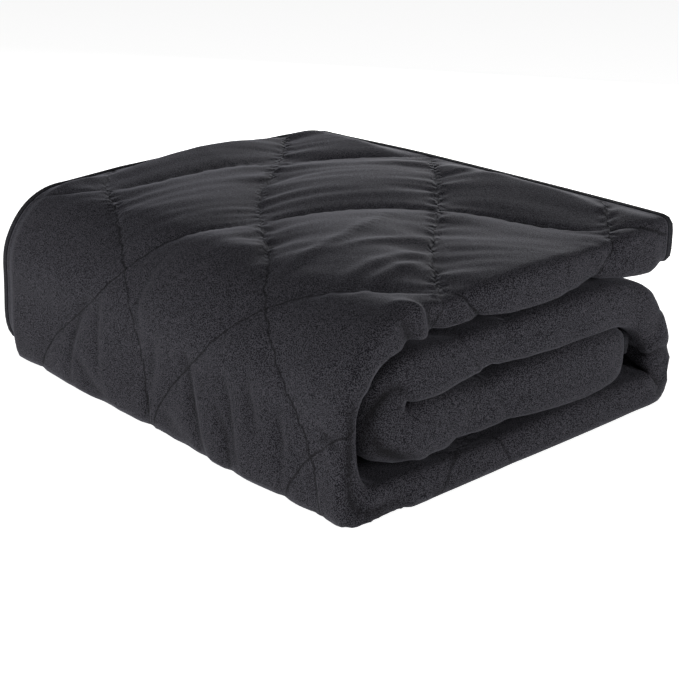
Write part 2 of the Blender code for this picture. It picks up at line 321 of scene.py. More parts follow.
# The small swings of a row of stitching to either side: their size, and their two unlike waves.
WANDER = 0.0050
WANDER_WAVES = (
    # share, waves a diamond, start
    (1.0, 5.3, 1.1),
    (0.7, 9.7, 0.4),
)
# The falling rows swing less, and out of step with the rising ones.
WANDER_FALLING_SHARE = 0.5
WANDER_FALLING_SHIFT = 0.37
# The gathers fade away from the rising rows: what is left of them in between, and how far they reach.
GATHER_LEAST = 0.45
GATHER_REACH = 0.045
# The gathers do not slide the cloth at the half fold, and slide it fully this far from it.
FOLD_STILL = 0.050


class ComforterSizes(bpy.types.PropertyGroup):
    """How full the puffs stand, how much of the gathers is kept, and their seed."""

    puff: FloatProperty(
        name="Puff",
        description="How full each diamond stands between its rows of stitching",
        default=1.35,
        subtype="FACTOR",
    )
    wrinkle: FloatProperty(
        name="Gathers",
        description="Share of the simulated gathers that the cloth keeps",
        default=1.25,
        subtype="FACTOR",
    )
    seed: IntProperty(
        name="Seed",
        description="Seed of the uneven start of the simulated cloth",
        default=3,
    )


class ComforterColours(bpy.types.PropertyGroup):
    """Colours of the cloth, the tape and the stage."""

    cloth_dark: FloatVectorProperty(
        name="Cloth, dark",
        description="Charcoal of the cloth between its lighter fibres",
        default=(0.0030, 0.0029, 0.0042, 1.0),
        size=4,
        subtype="COLOR",
    )
    cloth_light: FloatVectorProperty(
        name="Cloth, light",
        description="Charcoal of the lighter fibres",
        default=(0.0400, 0.0388, 0.0460, 1.0),
        size=4,
        subtype="COLOR",
    )
    tape: FloatVectorProperty(
        name="Tape",
        description="Near-black of the edge binding",
        default=(0.0130, 0.0130, 0.0150, 1.0),
        size=4,
        subtype="COLOR",
    )
    floor: FloatVectorProperty(
        name="Floor",
        description="Pale floor",
        default=(0.92, 0.92, 0.92, 1.0),
        size=4,
        subtype="COLOR",
    )


def smooth_step(t):
    """3t2 - 2t3, held at 0 and 1 outside."""
    t = np.clip(t, 0.0, 1.0)
    return t * t * (3.0 - 2.0 * t)


def risen(value, start, width):
    """0 up to start, and 1 from a width further on."""
    return smooth_step((value - start) / width)


def fallen(value, end, width):
    """1 until a width short of the end, and 0 from the end on."""
    return smooth_step((end - value) / width)


# --- the folded cloth ---------------------------------------------------------------------------


def half_turn(start, end, reach, exponents, side):
    """A superellipse half-turn between two points of (x, z), bulging to one side in x."""
    along = np.linspace(0, 1, POINTS_PER_RUN + 2)[1:-1]
    angle = math.pi * (0.5 - along)
    power = 2 / np.interp(along, EXPONENT_BLEND, exponents)
    sine = np.sin(angle)
    x = start[0] + (end[0] - start[0]) * along + side * reach * np.cos(angle) ** power
    half_height = (start[1] - end[1]) / 2
    z = end[1] + half_height * (1 + np.sign(sine) * np.abs(sine) ** power)
    return x, z


def lengths_of(rows):
    """Length along a line of rows that start with x and z: the running sum of its steps."""
    return np.concatenate([[0], np.cumsum(np.hypot(*np.diff(rows[:, :2], axis=0).T))])


def loft_shares(length, whole):
    """Share of its run's loft that the cloth has at each length.

    It falls off towards the core's end, and round a turn it is multiplied by that turn's own share.
    """
    left = np.clip((whole - length) / CORE_END_TAPER, 0, 1)
    shares = CORE_END_LOFT + (1 - CORE_END_LOFT) * smooth_step(left)
    for share, starts, full, fades, ends in TURN_FULLNESS:
        held = risen(length, starts, full - starts) * fallen(length, ends, ends - fades)
        shares = shares * (1 - (1 - share) * held)
    return shares


def centre_line():
    """Length along the cloth, and a row of x, z, loft, near and far for each length.

    The runs and turns are strung together, spaced evenly, and smoothed by a raised-cosine average whose
    line is carried on past each end by turning it half a turn about that end.
    """
    stretches = []
    for index, (_, x_from, x_to, z_from, z_to, *sizes) in enumerate(RUNS):
        along = np.linspace(0, 1, POINTS_PER_RUN)[:, None]
        ends = np.array([[x_from, z_from], [x_to, z_to]])
        run = ends[0] + (ends[1] - ends[0]) * along
        stretches.append(np.hstack([run, np.tile(sizes, (POINTS_PER_RUN, 1))]))
        if index < len(TURNS):
            _, reach, *exponents = TURNS[index]
            _, x_next, _, z_next, _, *next_sizes = RUNS[index + 1]
            side = -1 if index % 2 == 0 else 1
            x, z = half_turn((x_to, z_to), (x_next, z_next), reach, exponents, side)
            mix = smooth_step(np.linspace(0, 1, POINTS_PER_RUN))[:, None]
            blend = np.array(sizes) + (np.array(next_sizes) - np.array(sizes)) * mix
            stretches.append(np.column_stack([x, z, blend]))
    rows = np.vstack(stretches)
    length = lengths_of(rows)
    even = np.arange(0, length[-1], LINE_STEP)
    rows = np.column_stack([np.interp(even, length, column) for column in rows.T])
    rows[:, 2] *= loft_shares(even, even[-1])
    past = np.clip(1 - (even[-1] - even) / CORE_END_ROUND, 0, 1)
    rows[:, 3] += CORE_END_DEPTH * past ** 2
    reach = int(SMOOTHING / LINE_STEP)
    window = np.hanning(2 * reach + 1)
    window /= window.sum()
    before = 2 * rows[0] - rows[reach:0:-1]
    after = 2 * rows[-1] - rows[-2:-reach - 2:-1]
    padded = np.vstack([before, rows, after])
    rows = np.column_stack([np.convolve(column, window, "valid") for column in padded.T])
    return lengths_of(rows), rows


LENGTHS, LINE = centre_line()
OPEN_LENGTH = LENGTHS[-1]
DIRECTION = np.unwrap(np.arctan2(np.gradient(LINE[:, 1], LENGTHS), np.gradient(LINE[:, 0], LENGTHS)))


def along_cloth(u):
    """Middle point, loft, near, far and heading of the doubled cloth at length u."""
    inside = np.clip(u, 0, OPEN_LENGTH)
    x, z, loft, near, far = (np.interp(inside, LENGTHS, column) for column in LINE.T)
    heading = np.interp(inside, LENGTHS, DIRECTION)
    x = x + (u - inside) * np.cos(heading)
    z = z + (u - inside) * np.sin(heading)
    return x, z, loft, near, far, heading


def side_closeness(v):
    """1 at a bound side of the open cloth, falling to 0 where the filling is full."""
    return smooth_step(1 - (HALF_WIDTH - np.abs(v)) / EDGE_TAPER)


def edge_closeness(u, v):
    """1 at any bound edge, falling to 0 where the filling is full: the greater of side and end."""
    ends = smooth_step(1 - np.minimum(u, OPEN_LENGTH - u) / END_TAPER)
    return np.maximum(side_closeness(v), ends)


def ply_offset(u, v):
    """Height of a ply's middle surface over the middle of the doubled cloth."""
    loft = along_cloth(u)[2]
    offset = (loft + PLY_GAP) / 4 * (1 - EDGE_CLOSING * side_closeness(v))
    flare = np.exp(-(u / FLARE_ALONG) ** 2 - (v / FLARE_ACROSS) ** 2)
    return offset + FLARE * flare


def rounded_corners(u, v):
    """The open cloth with its square corners rounded.

    Within the corner's radius, the two distances from the corner's centre are scaled together, so
    that the square's rim lands on the circle and its middle lines stay where they are.
    """
    from_end = np.minimum(u, OPEN_LENGTH - u)
    a = np.maximum(1 - from_end / CORNER_RADIUS, 0)
    b = np.maximum(1 - (HALF_WIDTH - np.abs(v)) / CORNER_RADIUS, 0)
    scale = np.maximum(a, b) / np.maximum(np.hypot(a, b), 1e-9)
    both = (a > 0) & (b > 0)
    new_end = CORNER_RADIUS * (1 - a * scale)
    new_u = np.where(u < OPEN_LENGTH / 2, new_end, OPEN_LENGTH - new_end)
    new_v = np.sign(v) * (HALF_WIDTH - CORNER_RADIUS * (1 - b * scale))
    return np.where(both, new_u, u), np.where(both, new_v, v)


def fold(u, v, height=0.0, slide_u=0.0, slide_v=0.0):
    """The folded place of the point u, v of the open cloth, raised off its ply and slid along it.

    Each ply lies a quarter of the loft off the middle line. Near v = 0 the cloth turns in a half circle
    of that radius, so its outward normal swings from the outer ply's side through -Y to the inner one's.
    """
    u, v = rounded_corners(u, v)
    x, z, _, near, far, heading = along_cloth(u)
    offset = ply_offset(u, v)
    quarter = math.pi / 2 * offset
    distance = np.abs(v)
    side = np.where(v < 0, -1.0, 1.0)
    angle = np.minimum(distance / offset, math.pi / 2)
    stretch = (far - near - offset) / (HALF_WIDTH - quarter)
    sine, cosine = np.sin(angle), np.cos(angle)
    blunt = (sine ** FOLD_BLUNTNESS + cosine ** FOLD_BLUNTNESS) ** (-1 / FOLD_BLUNTNESS)
    radius = (offset + height) * np.where(height > 0, blunt, 1.0)
    out = side * radius * sine + slide_v * cosine
    y = near + offset - radius * cosine + side * slide_v * sine
    y = y + np.maximum(distance - quarter, 0) * stretch
    x = x + out * np.sin(heading) + slide_u * np.cos(heading)
    z = z - out * np.cos(heading) + slide_u * np.sin(heading)
    back = smooth_step((distance - LIFT_ACROSS[0]) / (LIFT_ACROSS[1] - LIFT_ACROSS[0]))
    z = z + back * np.interp(u, *zip(*LIFT_ALONG))
    x, z = squared(x, z)
    corner = ROLL_CORNER
    return np.stack([x + corner[0], y + corner[1], pressed(z + corner[2])], axis=-1)


def squared(x, z):
    """x and z with the roll's lower corners squared.

    The superellipse through a point, about the corner's centre, is swapped for a squarer one with the
    same half sizes, by moving the point straight away from the centre.
    """
    for side, centre_x, centre_z, half_x, half_z, before, after in SQUARED:
        out = np.maximum(side * (x - centre_x), 0) / half_x
        down = np.maximum(centre_z - z, 0) / half_z
        both = (out > 1e-6) & (down > 1e-6)
        out, down = np.where(both, out, 1.0), np.where(both, down, 1.0)
        first = (out ** before + down ** before) ** (1 / before)
        ratio = np.where(both, first / (out ** after + down ** after) ** (1 / after), 1.0)
        x, z = centre_x + (x - centre_x) * ratio, centre_z + (z - centre_z) * ratio
    return x, z


def pressed(z):
    """Height once the cloth has settled: its low parts are brought down by a falling exponential of
    their height, and what would go under the floor is pressed up to it by a rounded bend."""
    z = z - SETTLING * np.exp(-np.maximum(z, 0.0) / SETTLING_REACH)
    return (z + np.sqrt(z * z + PRESSED_SOFTNESS ** 2)) / 2


# --- the quilting -------------------------------------------------------------------------------


def even_phases(u, v):
    """How many rows of stitching of each direction lie between a point and the first one."""
    shear = np.interp(u, *zip(*SHEAR))
    rising = (v - shear + SEAM_SLOPE * u - SEAM_PHASE) / SEAM_SPACING
    falling = (v - shear - SEAM_SLOPE * u - SEAM_PHASE) / SEAM_SPACING
    return rising, falling


def pull(u, v):
    """Bell curves of a point's distance from each crossing, one column a crossing."""
    places = np.array(CROSSINGS)[:, :2]
    square = (u[..., None] - places[:, 0]) ** 2 + (v[..., None] - places[:, 1]) ** 2
    return np.exp(-square / (2 * PULL_REACH ** 2))


def pull_shares():
    """What each bell curve adds to the two phases, so that every crossing lands on whole numbers."""
    table = np.array(CROSSINGS)
    even = np.column_stack(even_phases(table[:, 0], table[:, 1]))
    return np.linalg.solve(pull(table[:, 0], table[:, 1]), table[:, 2:] - even)


PULL_SHARES = pull_shares()


def seam_phases(u, v):
    """The even phases plus what the pulled crossings add: whole numbers are rows of stitching."""
    rising, falling = even_phases(u, v)
    added = pull(u, v) @ PULL_SHARES
    rising, falling = rising + added[..., 0], falling + added[..., 1]
    swing = WANDER * WANDER_FALLING_SHARE
    return rising + WANDER * wander(falling), falling + swing * wander(rising + WANDER_FALLING_SHIFT)


def crown(rising, falling):
    """1 in the middle of a diamond and 0 along its stitching: a power of the product of two sines."""
    return np.abs(np.sin(math.pi * rising) * np.sin(math.pi * falling)) ** CROWN_POWER


def crossways(along, across):
    """Flat place of a point of the even pattern: u grows with rising and shrinks with falling rows."""
    half_u, half_v = SEAM_SPACING / (2 * SEAM_SLOPE), SEAM_SPACING / 2
    return (along - across) * half_u, (along + across) * half_v


def uneven(shape, seed):
    """Noise drawn long along the first axis and short along the second, with a spread of 1."""
    margin = SEED_MARGIN
    rng = np.random.default_rng(seed)
    noise = rng.normal(size=(shape[0] + 2 * margin, shape[1] + 2 * margin))
    for axis, width in ((0, SEED_LONG), (1, SEED_SHORT)):
        reach = np.arange(-int(3 * width) - 1, int(3 * width) + 2) / width
        bell = np.exp(-reach ** 2 / 2)
        bell /= bell.sum()
        noise = np.apply_along_axis(np.convolve, axis, noise, bell, "same")
    noise = noise[margin:-margin, margin:-margin]
    return noise / noise.std()


def block_grid():
    """Phases of the simulated block's points, and which of them are sewn down."""
    rising, falling = np.meshgrid(
        np.arange(BLOCK_RISING * SIM_CELLS + 1) / SIM_CELLS,
        np.arange(BLOCK_FALLING * SIM_CELLS + 1) / SIM_CELLS,
        indexing="ij",
    )
    sewn = (rising % 1 == 0) | (falling % 1 == 0)
    return rising, falling, sewn


def grid_faces(rows, columns):
    """Quads of a grid of points, as indices."""
    index = np.arange(rows * columns).reshape(rows, columns)
    corners = index[:-1, :-1], index[1:, :-1], index[1:, 1:], index[:-1, 1:]
    return np.stack(corners, axis=-1).reshape(-1, 4)


def simulated_block(seed):
    """Slide along u, slide along v and height of each point of a quilted block blown up from inside.

    The cloth between its rows of stitching is cut larger than the room it has, more so along the
    rising rows, so it stands up and gathers across them.
    """
    rising, falling, sewn = block_grid()
    start = SIM_PUFF * SIM_START * crown(rising, falling)
    flat_u, flat_v = crossways(rising, falling)
    height = np.where(sewn, 0.0, start + SEED_HEIGHT * uneven(rising.shape, seed))
    first = np.stack([flat_u, flat_v, height], axis=-1)
    cut_u, cut_v = crossways(rising * SPARE_RISING, falling * SPARE_FALLING)
    mesh = bpy.data.meshes.new("quilted_block")
    mesh.from_pydata(first.reshape(-1, 3).tolist(), [], grid_faces(*rising.shape).tolist())
    obj = bpy.data.objects.new("quilted_block", mesh)
    bpy.context.scene.collection.objects.link(obj)
    obj.shape_key_add(name="Basis")
    cut = obj.shape_key_add(name="cut")
    cut.data.foreach_set("co", np.stack([cut_u, cut_v, height], axis=-1).ravel())
    cut.value = 0.0
    group = obj.vertex_groups.new(name="sewn")
    group.add(np.nonzero(sewn.ravel())[0].tolist(), 1.0, "REPLACE")
    cloth = obj.modifiers.new("Cloth", "CLOTH")
    settings = cloth.settings
    settings.vertex_group_mass = group.name
    settings.rest_shape_key = cut
    settings.use_pressure = True
    settings.uniform_pressure_force = 2.0
    settings.effector_weights.gravity = 0.0
    settings.mass = 0.05
    settings.quality = 5
    settings.tension_stiffness = 15.0
    settings.compression_stiffness = 15.0
    settings.shear_stiffness = 5.0
    settings.bending_stiffness = 8.0
    cloth.collision_settings.use_collision = False
    cloth.point_cache.frame_start = 1
    cloth.point_cache.frame_end = SIM_FRAMES
    for step in range(1, SIM_FRAMES + 1):
        bpy.context.scene.frame_set(step)
    graph = bpy.context.evaluated_depsgraph_get()
    result = bpy.data.meshes.new_from_object(obj.evaluated_get(graph))
    last = np.empty(len(result.vertices) * 3, np.float32)
    result.vertices.foreach_get("co", last)
    bpy.data.objects.remove(obj)
    bpy.data.meshes.remove(mesh)
    bpy.data.meshes.remove(result)
    bpy.context.scene.frame_set(1)
    moved = last.reshape(first.shape).astype(float) - first
    moved[..., 2] += first[..., 2]
    moved = np.clip(moved, -SIM_CAP, SIM_CAP)
    return moved[..., 0], moved[..., 1], moved[..., 2]


def wander(phase):
    """Two unlike waves along a row of stitching, for its small swings to either side."""
    return sum(share * np.sin(math.tau * waves * phase + start) for share, waves, start in WANDER_WAVES)


def laced(across, along, share):
    """Puckers on both sides of the rows of one direction, where the thread draws the cloth together.

    Each is a bell a little way off the row, times a wave along the row that is half a turn out of step
    on the other side and uneven in pitch.
    """
    off = (across - np.round(across)) * SEAM_PITCH
    row = np.round(across)
    drift, drift_waves, drift_shift = LACE_DRIFT
    turns = along * LACE_TURNS + drift * np.sin(math.tau * drift_waves * along + drift_shift * row)
    wave = np.sin(math.tau * turns + np.where(off > 0, LACE_STAGGER, 0.0) + LACE_ROW_SHIFT * row)
    swell, swell_waves, swell_shift = LACE_SWELL
    strength = 1 - swell + swell * np.sin(math.tau * swell_waves * along + swell_shift * row)
    bell = np.exp(-((np.abs(off) - LACE_OFF) / LACE_WIDTH) ** 2)
    return LACE_HEIGHT * share * strength * bell * wave


def sampled(layers, rising, falling):
    """Layers of the block read at any phases, each diamond of the cloth from a diamond of the block."""
    cell_r, cell_f = np.floor(rising), np.floor(falling)
    place_r = (rising - cell_r + cell_r % BLOCK_RISING) * SIM_CELLS
    place_f = (falling - cell_f + (cell_f + 2 * cell_r) % BLOCK_FALLING) * SIM_CELLS
    i = np.minimum(place_r.astype(int), BLOCK_RISING * SIM_CELLS - 1)
    j = np.minimum(place_f.astype(int), BLOCK_FALLING * SIM_CELLS - 1)
    a, b = place_r - i, place_f - j
    found = []
    for layer in layers:
        low = layer[i, j] * (1 - b) + layer[i, j + 1] * b
        high = layer[i + 1, j] * (1 - b) + layer[i + 1, j + 1] * b
        found.append(low * (1 - a) + high * a)
    return found


def bent_line(start, bend, end, count=24):
    """Points of a quadratic curve from start to end that leans towards bend."""
    t = np.linspace(0, 1, count)[:, None]
    start, bend, end = (np.array(point) for point in (start, bend, end))
    return (1 - t) ** 2 * start + 2 * t * (1 - t) * bend + t * t * end


def hand_creases(u, v):
    """Sum of the creases, and a mask of painted shade at the bottom of each trough.

    A crease is a bell across its line, faded to nothing at its two ends. The painted shade mask, from 0 to
    1, is a narrower bell along the troughs alone.
    """
    total, crease_shade_mask = np.zeros_like(u), np.zeros_like(u)
    for us, vs, ub, vb, ue, ve, width, height in CREASES:
        line = bent_line((us, vs), (ub, vb), (ue, ve))
        margin = CREASE_REACH * width
        near = (u > line[:, 0].min() - margin) & (u < line[:, 0].max() + margin)
        near &= (v > line[:, 1].min() - margin) & (v < line[:, 1].max() + margin)
        square = (u[near][:, None] - line[:, 0]) ** 2 + (v[near][:, None] - line[:, 1]) ** 2
        fade = np.sin(math.pi * np.linspace(*CREASE_ENDS, len(line))) ** CREASE_FADE
        total[near] += height * (fade * np.exp(-square / width ** 2)).max(axis=1)
        if height < 0:
            narrow = (fade * np.exp(-square / (TROUGH_SHARE * width) ** 2)).max(axis=1)
            # The painted shade in the trough is fuller the deeper the trough is.
            narrow = narrow * min(1.0, (height / DEEP_TROUGH) ** 2)
            crease_shade_mask[near] = np.maximum(crease_shade_mask[near], narrow)
    return total, crease_shade_mask


def visible_share(u, v):
    """1 where the finished roll shows its cloth, falling to 0 on the plies hidden inside it."""
    outer = risen(v, *SHOWN_ACROSS) * fallen(u, *SHOWN_ALONG)
    return np.maximum(outer, fallen(np.abs(v), *SHOWN_NEAR_FOLD))


def nose_share(u, v):
    """1 on the half fold of the inner layers, where the rows of stitching hardly show, and 0 elsewhere."""
    inner = sum(share * risen(u, start, width) for share, start, width in NOSE_STAGES)
    return fallen(np.abs(v), *NOSE_ACROSS) * inner


def closed_down(height, closeness):
    """Height of a face once the filling gives out towards a bound edge, where only the cloth is left."""
    return height * (1 - closeness) + np.minimum(EDGE_HALF, height) * closeness


def outer_relief(u, v, block, sizes):
    """Height of the outer face over its ply's middle, and its slide along the ply in u and v.

    The height is a quarter of the loft times a mix of the smooth puff and the simulated one, flattened
    where the cloth lies or noses out, plus the filled lower corners, the creases and the puckers.
    """
    _, _, loft, _, _, heading = along_cloth(u)
    quarter_loft = (loft - PLY_GAP) / 4
    shown = visible_share(u, v)
    rising, falling = seam_phases(u, v)
    slide_u, slide_v, height = sampled(block, rising, falling)
    puckers = laced(rising, falling, 1.0) + laced(falling, rising, LACE_FALLING_SHARE)
    smooth = crown(rising, falling)
    off_row = np.abs(rising - np.round(rising)) * SEAM_PITCH
    gathered = GATHER_LEAST + (1 - GATHER_LEAST) * np.exp(-(off_row / GATHER_REACH) ** 2)
    share = shown * sizes.wrinkle * gathered
    height = smooth + (height / SIM_PUFF - smooth) * share
    lying = smooth_step(1 - np.abs(heading - math.tau) / LYING_SWING) * risen(v, *LYING_ACROSS)
    height = height + (1 - height) * LYING_SHARE * lying
    height = height + (1 - height) * NOSE_SHARE * nose_share(u, v)
    puckers = puckers * (1 - lying)
    puff = HIDDEN_PUFF + (sizes.puff - HIDDEN_PUFF) * shown
    quilted = quarter_loft * (SEWN_LOFT + (1 - SEWN_LOFT) * height * puff)
    for target, swing, stand in FEET:
        bell = smooth_step(1 - np.abs(heading - target) / swing)
        quilted = quilted + stand * bell * risen(v, *FEET_ACROSS)
    closeness = edge_closeness(u, v)
    full = 1 - closeness
    quilted = closed_down(quilted, closeness) + (hand_creases(u, v)[0] + puckers * shown) * full
    share = share * full * smooth_step(v / FOLD_STILL)
    return np.maximum(quilted, EDGE_HALF * LEAST_SHARE), slide_u * share, slide_v * share


def inner_relief(u, v):
    """How far the inner face lies under its ply's middle: smooth puffs, thinner at the bound edges."""
    quarter_loft = (along_cloth(u)[2] - PLY_GAP) / 4
    quilted = quarter_loft * (SEWN_LOFT + (1 - SEWN_LOFT) * crown(*seam_phases(u, v)))
    return closed_down(quilted, edge_closeness(u, v))


# --- meshes -------------------------------------------------------------------------------------


def stepped(table):
    """Places from a table of stretches, each divided evenly in steps near its own."""
    places = [np.array([table[0][0]])]
    for start, end, step in table:
        count = max(1, round((end - start) / step))
        places.append(np.linspace(start, end, count + 1)[1:])
    return np.concatenate(places)


def rim(rows, columns):
    """Indices of a grid's rim, once round."""
    index = np.arange(rows * columns).reshape(rows, columns)
    return np.concatenate([index[:-1, 0], index[-1, :-1], index[:0:-1, -1], index[0, :0:-1]])


def rim_band(shape, inner_shape, picked):
    """Triangles that close the rim between a grid and a coarser one, whose points follow the grid's own.

    Each edge of the fine rim joins the coarse point that it last passed, and each edge of the coarse rim
    joins the fine point that its far end was picked from.
    """
    total = shape[0] * shape[1]
    outer_rim, inner_rim = rim(*shape), rim(*inner_shape)
    position = np.full(total, -1)
    position[outer_rim] = np.arange(len(outer_rim))
    starts = position[picked[inner_rim]]
    owner = np.searchsorted(starts, np.arange(len(outer_rim)), side="right") - 1
    fans = np.column_stack([outer_rim, inner_rim[owner] + total, np.roll(outer_rim, -1)])
    next_start = outer_rim[np.roll(starts, -1) % len(outer_rim)]
    steps = np.column_stack([next_start, inner_rim + total, np.roll(inner_rim, -1) + total])
    return np.vstack([fans, steps])


def with_last(count, stride):
    """Every stride-th index, and always the last one."""
    picked = np.arange(0, count - 1, stride)
    return np.append(picked, count - 1)


def cloth_object(name, points, quads, triangles, marks, material):
    """A mesh object with the cloth's own u, v as its UV map and named values at its points."""
    mesh = bpy.data.meshes.new(name)
    faces = quads.tolist() + triangles.tolist()
    mesh.from_pydata(points.tolist(), [], faces)
    corners = np.empty(len(mesh.loops), np.int32)
    mesh.loops.foreach_get("vertex_index", corners)
    layer = mesh.uv_layers.new(name="open_cloth")
    layer.data.foreach_set("uv", marks["uv"][corners].astype(np.float32).ravel())
    for key, values in marks.items():
        if key == "uv":
            continue
        attribute = mesh.attributes.new(key, "FLOAT", "POINT")
        attribute.data.foreach_set("value", values.astype(np.float32))
    mesh.materials.append(material)
    mesh.shade_smooth()
    obj = bpy.data.objects.new(name, mesh)
    bpy.context.scene.collection.objects.link(obj)
    return obj


def outward(obj):
    """Turns the faces of a closed mesh so that its volume comes out over 0."""
    mesh = obj.data
    mesh.calc_loop_triangles()
    points = np.empty(len(mesh.vertices) * 3, np.float32)
    mesh.vertices.foreach_get("co", points)
    triangles = np.empty(len(mesh.loop_triangles) * 3, np.int32)
    mesh.loop_triangles.foreach_get("vertices", triangles)
    corners = points.reshape(-1, 3).astype(float)[triangles.reshape(-1, 3)]
    if np.linalg.det(corners).sum() < 0:
        mesh.flip_normals()


def make_padded_cloth(sizes, material):
    """The comforter: an outer and an inner face over the open cloth, joined round their rim.

    A point of the outer face is the folded cloth raised by its relief. The inner face uses every few
    rows and columns of the same grid, sunk by its own relief, and a band of triangles closes the rim.
    """
    block = simulated_block(sizes.seed)
    last_rows = (ROW_STEPS[-1][1], OPEN_LENGTH, LAST_STEP)
    rows, columns = stepped(ROW_STEPS + (last_rows,)), stepped(COLUMN_STEPS)
    u, v = np.meshgrid(rows, columns, indexing="ij")
    relief, slide_u, slide_v = outer_relief(u, v, block, sizes)
    outer = fold(u, v, relief, slide_u, slide_v)
    pick_rows = with_last(len(rows), INNER_STRIDE)
    pick_columns = with_last(len(columns), INNER_STRIDE)
    inner_u, inner_v = u[np.ix_(pick_rows, pick_columns)], v[np.ix_(pick_rows, pick_columns)]
    inner = fold(inner_u, inner_v, -inner_relief(inner_u, inner_v))
    picked = np.arange(u.size).reshape(u.shape)[np.ix_(pick_rows, pick_columns)].ravel()
    quads = np.vstack([grid_faces(*u.shape), grid_faces(*inner_u.shape)[:, ::-1] + u.size])
    band = rim_band(u.shape, inner_u.shape, picked)
    points = np.vstack([outer.reshape(-1, 3), inner.reshape(-1, 3)])
    all_u = np.concatenate([u.ravel(), inner_u.ravel()])
    all_v = np.concatenate([v.ravel(), inner_v.ravel()])
    rising, falling = seam_phases(all_u, all_v)
    marks = {"uv": np.column_stack([all_u, all_v]), "rising": rising, "falling": falling}
    # A mask of painted shade along the bottoms of the creases' troughs, for the cloth's material.
    marks["trough"] = hand_creases(all_u, all_v)[1]
    marks["faint"] = nose_share(all_u, all_v)
    obj = cloth_object("padded_cloth", points, quads, band, marks, material)
    outward(obj)
    return obj


def tape_profile():
    """Closed outline of the folded tape: distance out from the cloth's edge, and height over it.

    The outside runs along the top, round the fold as a half circle and back along the bottom. The
    inside is the same line moved in by the tape's cloth.
    """

    def arm(half, width):
        t = np.linspace(0, 1, TAPE_FLAT_POINTS)
        height = half * (1 - TAPE_PINCH + TAPE_PINCH * np.sin(t * math.pi / 2))
        flat = np.column_stack([TAPE_START + t * (width - half), height])
        angle = np.linspace(math.pi / 2, -math.pi / 2, TAPE_BEND_POINTS)[1:-1]
        bend = np.column_stack([TAPE_START + width - half + half * np.cos(angle), half * np.sin(angle)])
        return np.vstack([flat, bend, flat[::-1] * (1, -1)])

    outside = arm(TAPE_HALF, TAPE_WIDTH)
    inside = arm(TAPE_HALF - TAPE_CLOTH, TAPE_WIDTH - TAPE_CLOTH)
    return np.vstack([outside, inside[::-1]])


def tape_route():
    """Once round the open cloth's edge: u, v and the outward direction in each.

    At a corner the outward directions of the two sides that meet there are added.
    """
    last = OPEN_LENGTH
    corners = ((0, -HALF_WIDTH), (last, -HALF_WIDTH), (last, HALF_WIDTH), (0, HALF_WIDTH))
    outs = ((0, -1), (1, 0), (0, 1), (-1, 0))
    places = []
    for index, (start, out) in enumerate(zip(corners, outs)):
        end = corners[(index + 1) % 4]
        count = round(math.dist(start, end) / TAPE_STEP)
        t = np.linspace(0, 1, count, endpoint=False)[:, None]
        line = np.array(start) + (np.array(end) - np.array(start)) * t
        places.append(np.hstack([line, np.tile(out, (count, 1))]))
        places[-1][0, 2:] = np.add(out, outs[index - 1])
    return np.vstack(places)


def make_binding(material):
    """The tape: its closed profile carried once round the cloth's edge, folded with the cloth."""
    route, profile = tape_route(), tape_profile()
    distance, height = profile.T
    u = route[:, 0, None] + route[:, 2, None] * distance
    v = route[:, 1, None] + route[:, 3, None] * distance
    points = fold(u, v, np.broadcast_to(height, u.shape))
    count, around = u.shape
    index = np.arange(count * around).reshape(count, around)
    ahead, beside = np.roll(index, -1, axis=0), np.roll(index, -1, axis=1)
    quads = np.stack([index, ahead, np.roll(ahead, -1, axis=1), beside], axis=-1).reshape(-1, 4)
    length = np.arange(count) * TAPE_STEP
    spread = np.cumsum(np.hypot(*np.diff(profile, axis=0, prepend=profile[:1]).T))
    uv = np.stack(np.broadcast_arrays(length[:, None], spread), axis=-1).reshape(-1, 2)
    marks = {"uv": uv, "tape_height": np.broadcast_to(distance, u.shape).ravel()}
    none = np.empty((0, 3), int)
    obj = cloth_object("edge_binding", points.reshape(-1, 3), quads, none, marks, material)
    outward(obj)
    return obj


# --- materials ----------------------------------------------------------------------------------

# How strongly the floor glows.
FLOOR_GLOW = 0.85
# Layers of the fibre mask: the group input that scales each, its noise's scale and detail, its spread.
FIBRE_LAYERS = (
    ("Speckle", 1080.0, 0.0, 15.0),
    ("Patches", 13.0, 3.0, 0.9),
    (None, 320.0, 1.0, 0.9),
)
# What the layers vary about.
FIBRE_MIDDLE = 0.38
# How much painted shade darkens the cloth at the bottom of a trough.
TROUGH_SHADE = 0.90
# How much of a row's painted shade line is lost where the half fold of the inner layers fills out.
FAINT_SHARE = 0.70
# The two directions of stitching: how much painted shade the row's line puts on the cloth, how much painted
# light and shade its notches put on it, and the notches' bump.
ROW_LOOKS = (
    (0.65, 0.12, 0.40),
    (0.65, 0.03, 0.10),
)
# Distances from a row between which its line and its notches fade away.
LINE_FADE = (0.0003, 0.0022)
NOTCH_FADE = (0.0010, 0.0085)
# Notches from one crossing to the next, and how far they drift out of even, in radians.
NOTCH_TURNS = 17.0
NOTCH_DRIFT = 14.0
# How much lighter the tape's lighter fibres are.
TAPE_LIGHTER = 2.2


def add_node(tree, kind, place, **settings):
    """A new node of a kind at a place in the tree, with its settings."""
    node = tree.nodes.new(kind)
    node.location = place
    for key, value in settings.items():
        setattr(node, key, value)
    return node


def sockets_set(node, **values):
    """Gives input sockets their values, with _ for a space in a socket's name."""
    for key, value in values.items():
        node.inputs[key.replace("_", " ")].default_value = value


def worked(tree, kind, place, *values, clamped=False):
    """Output of a Math node of a kind, whose inputs are numbers or other nodes' outputs."""
    node = add_node(tree, "ShaderNodeMath", place, operation=kind, use_clamp=clamped)
    for socket, value in zip(node.inputs, values):
        if isinstance(value, float):
            socket.default_value = value
        else:
            tree.links.new(value, socket)
    return node.outputs[0]


def shaded_by(tree, place, colour, value):
    """Output of a colour times a value."""
    node = add_node(tree, "ShaderNodeMix", place, data_type="RGBA", blend_type="MULTIPLY")
    node.inputs["Factor"].default_value = 1.0
    tree.links.new(colour, node.inputs["A"])
    tree.links.new(value, node.inputs["B"])
    return node.outputs["Result"]


